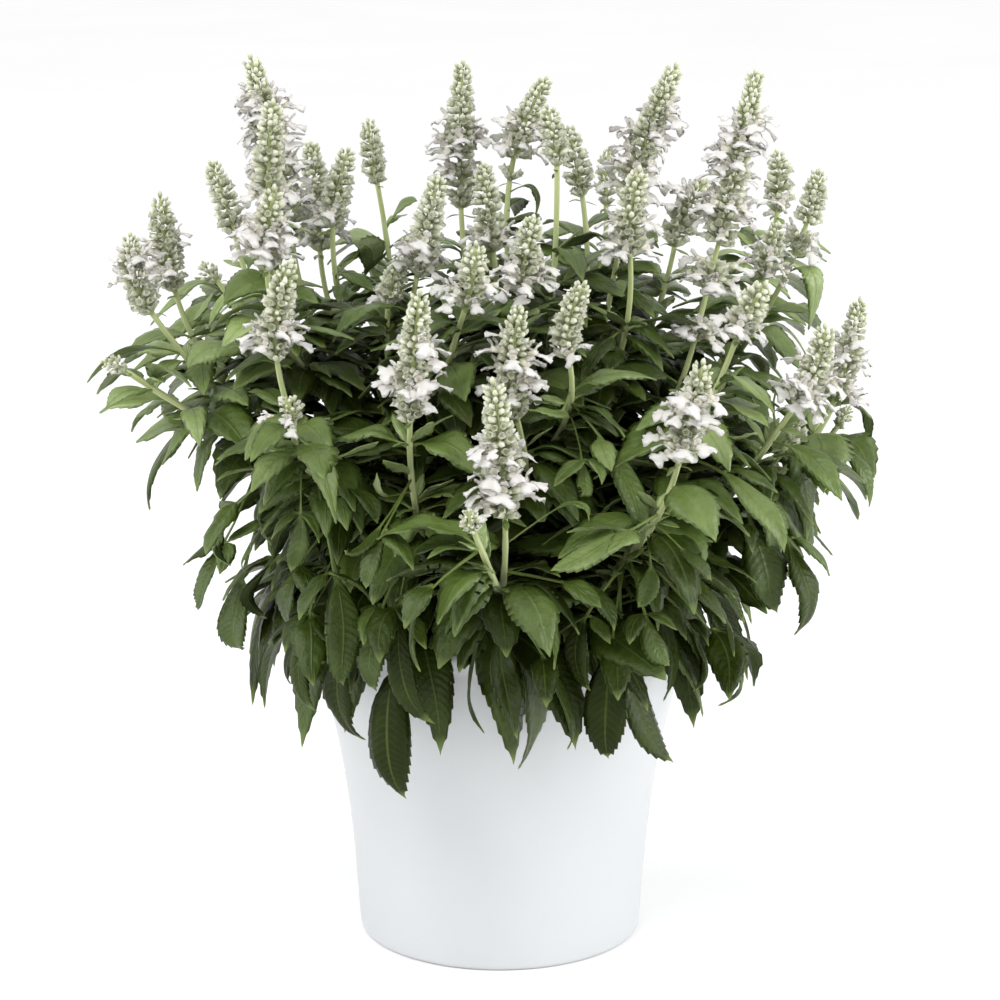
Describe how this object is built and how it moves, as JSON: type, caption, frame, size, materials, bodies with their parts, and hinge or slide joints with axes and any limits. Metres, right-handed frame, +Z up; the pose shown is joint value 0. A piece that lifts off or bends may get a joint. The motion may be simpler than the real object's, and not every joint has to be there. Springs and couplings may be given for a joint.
{
  "type": "potted flowering sage",
  "caption": "Bushy mealycup sage with upright white flower spikes and drooping toothed leaves, in a plain flared white pot.",
  "frame": {"origin": "middle of the pot's underside, which rests on the floor", "axes": "+Z up along the pot's axis; -Y towards the side that the picture shows; +X to that side's right"},
  "size_m": [0.4035, 0.3444, 0.4587],
  "materials": {
    "pot": "smooth satin white, slightly cool",
    "soil": "dark crumbly potting soil, wood standing in for it",
    "foliage": "soft satin green leaf, leather standing in for it",
    "flower": "woolly grey-white calyxes with white petals, fabric standing in for them"
  },
  "bodies": {
    "root": {"pot": "pot", "soil": "soil", "spike_a": "flower", "spike_b": "flower", "spike_back_bud": "flower", "spike_back_right": "flower", "spike_behind_right": "flower", "spike_c": "flower", "spike_d": "flower", "spike_e": "flower", "spike_f": "flower", "spike_front": "flower", "spike_front_bud": "flower", "spike_g": "flower", "spike_grey_right": "flower", "spike_h": "flower", "spike_i": "flower", "spike_inner_right": "flower", "spike_j": "flower", "spike_k": "flower", "spike_low_right": "flower", "spike_m": "flower", "spike_n": "flower", "spike_near_right": "flower", "spike_o": "flower", "spike_outer_right": "flower", "spike_p": "flower", "spike_q": "flower", "spike_r": "flower", "spike_right_edge": "flower", "spike_s": "flower", "spike_small_right": "flower", "spike_t": "flower", "spike_tall_right": "flower", "spike_tallest_right": "flower", "spike_tiny_right": "flower", "spike_u": "flower", "spike_v": "flower", "spike_w": "flower", "spike_white_right": "flower", "spike_x": "flower", "spike_y": "flower", "spike_z": "flower", "stem_back_left": "foliage", "stem_back_mid_left": "foliage", "stem_back_mid_right": "foliage", "stem_back_middle": "foliage", "stem_back_right": "foliage", "stem_far_left": "foliage", "stem_far_right": "foliage", "stem_front": "foliage", "stem_front_left": "foliage", "stem_front_mid_left": "foliage", "stem_front_middle": "foliage", "stem_front_right": "foliage", "stem_left": "foliage", "stem_mid_left": "foliage", "stem_mid_right": "foliage", "stem_middle": "foliage", "stem_right": "foliage"}
  },
  "joints": []
}
